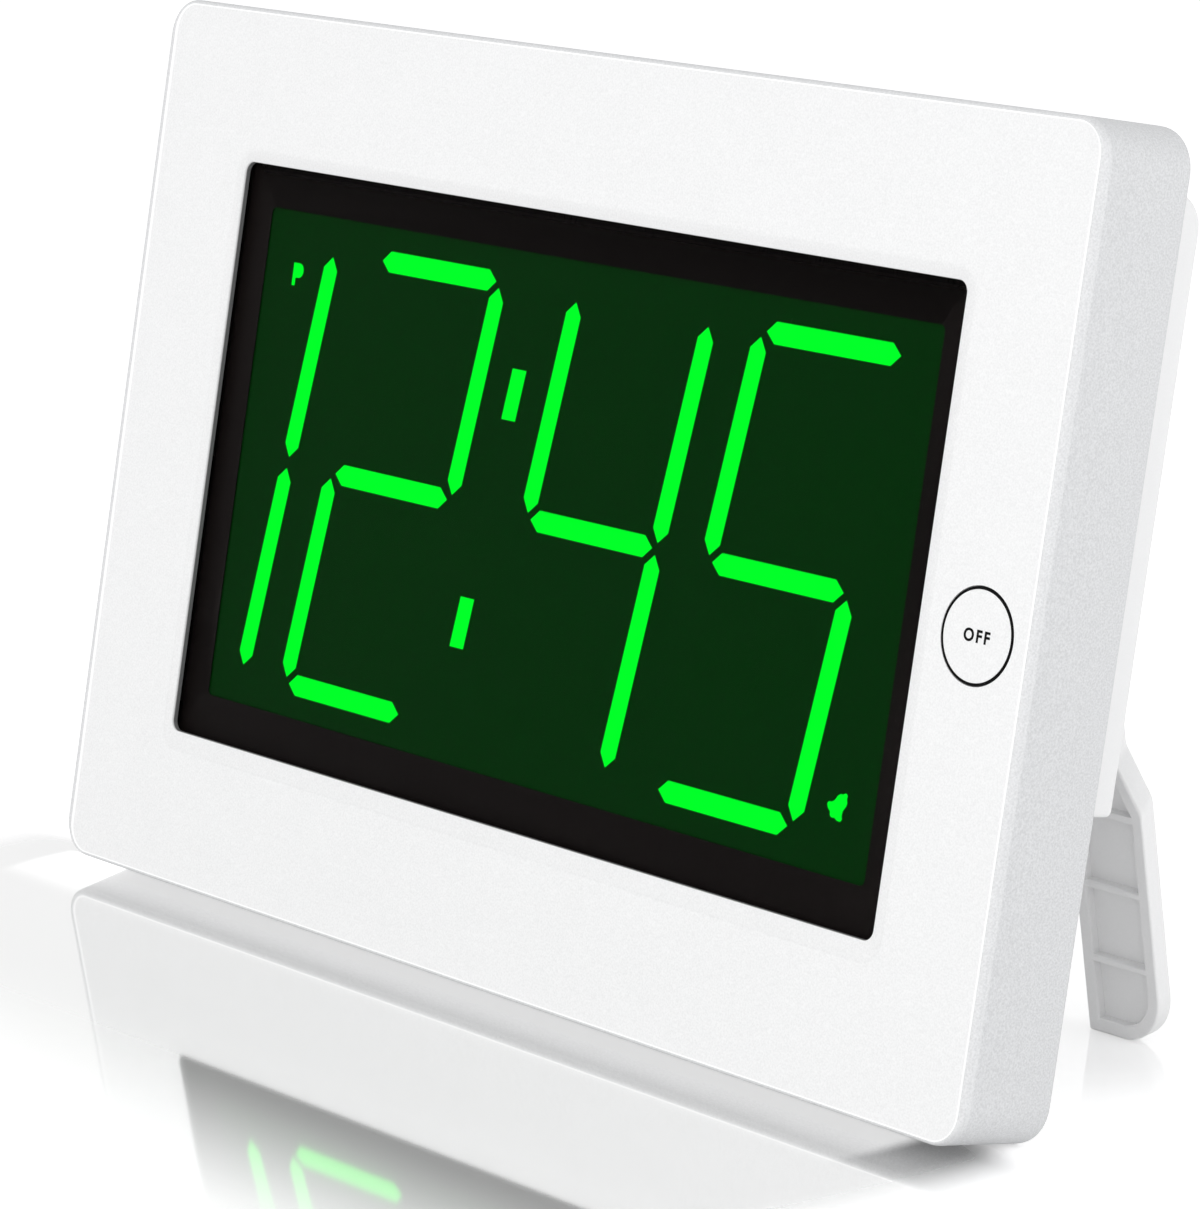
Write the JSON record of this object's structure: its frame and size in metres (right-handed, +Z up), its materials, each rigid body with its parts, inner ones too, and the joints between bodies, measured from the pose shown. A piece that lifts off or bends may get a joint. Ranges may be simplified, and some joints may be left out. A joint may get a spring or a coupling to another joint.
{
  "type": "digital alarm clock",
  "caption": "Flat white alarm clock with a lit green segment display, a round stop button, rear keys, a battery bay, a wall keyhole and a fold-out stand.",
  "frame": {"origin": "on the floor under the middle of the outer box of the clock standing on its open stand", "axes": "+X to the clock's right as seen from the front, +Y from front to back, +Z up"},
  "size_m": [0.24, 0.0748, 0.1611],
  "materials": {
    "white_plastic": "fine moulded grain",
    "grey_plastic": "fine moulded grain",
    "black_print": "smooth",
    "clear_lens": "clear acrylic",
    "display_glass": "dark green glass",
    "lit_green": "lit",
    "frame_plastic": "plain moulded",
    "white_film": "matt",
    "circuit_board": "solder mask",
    "lamp_plastic": "clear resin",
    "striped_rubber": "plain",
    "chip_plastic": "plain",
    "bright_steel": "plated",
    "spring_brass": "plated",
    "cell_wrap": "printed wrap without lettering"
  },
  "bodies": {
    "case": {"front_bezel": "white_plastic", "rear_cover": "white_plastic", "display_lens": "clear_lens", "lens_border": "black_print", "lcd_panel": "display_glass", "lcd_digits": "lit_green", "lcd_holder": "frame_plastic", "light_guide": "clear_lens", "reflector_film": "white_film", "lamp_board": "circuit_board", "lamps": "lamp_plastic", "rubber_strip": "striped_rubber", "main_board": "circuit_board", "clock_chip": "chip_plastic", "quartz_crystal": "bright_steel", "stop_board": "circuit_board", "stop_contact": "chip_plastic", "key_board": "circuit_board", "key_contacts": "chip_plastic", "switch_bodies": "bright_steel", "buzzer": "chip_plastic", "batteries": "cell_wrap", "battery_contacts": "spring_brass", "case_screws": "bright_steel", "holder_screws": "bright_steel"},
    "stop_button": {"stop_button": "white_plastic", "stop_ring": "black_print"},
    "stand": {"stand_frame": "white_plastic", "stand_pins": "bright_steel"},
    "battery_door": {"battery_door": "white_plastic"},
    "time_key": {"time_key": "grey_plastic"},
    "alarm_key": {"alarm_key": "grey_plastic"},
    "up_key": {"up_key": "grey_plastic"},
    "down_key": {"down_key": "grey_plastic"},
    "alarm_switch_knob": {"alarm_switch_knob": "grey_plastic"},
    "light_switch_knob": {"light_switch_knob": "grey_plastic"}
  },
  "joints": [
    {"name": "stand_fold", "type": "hinge", "parent": "case", "child": "stand", "pos_m": [0, 0.01678, 0.12078], "axis": [-1, 0, 0], "range_deg": [0, 19.5]},
    {"name": "stop_press", "type": "slide", "parent": "case", "child": "stop_button", "axis": [0, 0.983, -0.1834], "range_m": [0, 0.0008], "stiffness_N_per_m": 300, "springref_m": -0.0005},
    {"name": "time_press", "type": "slide", "parent": "case", "child": "time_key", "axis": [0, -0.983, 0.1834], "range_m": [0, 0.0008], "stiffness_N_per_m": 300, "springref_m": -0.0005},
    {"name": "alarm_press", "type": "slide", "parent": "case", "child": "alarm_key", "axis": [0, -0.983, 0.1834], "range_m": [0, 0.0008], "stiffness_N_per_m": 300, "springref_m": -0.0005},
    {"name": "up_press", "type": "slide", "parent": "case", "child": "up_key", "axis": [0, -0.983, 0.1834], "range_m": [0, 0.0008], "stiffness_N_per_m": 300, "springref_m": -0.0005},
    {"name": "down_press", "type": "slide", "parent": "case", "child": "down_key", "axis": [0, -0.983, 0.1834], "range_m": [0, 0.0008], "stiffness_N_per_m": 300, "springref_m": -0.0005},
    {"name": "alarm_switch_slide", "type": "slide", "parent": "case", "child": "alarm_switch_knob", "axis": [1, 0, 0], "range_m": [0, 0.004]},
    {"name": "light_switch_slide", "type": "slide", "parent": "case", "child": "light_switch_knob", "axis": [1, 0, 0], "range_m": [0, 0.004]},
    {"name": "door_lift", "type": "slide", "parent": "case", "child": "battery_door", "axis": [0, 0.983, -0.1834], "range_m": [0, 0.02]}
  ]
}
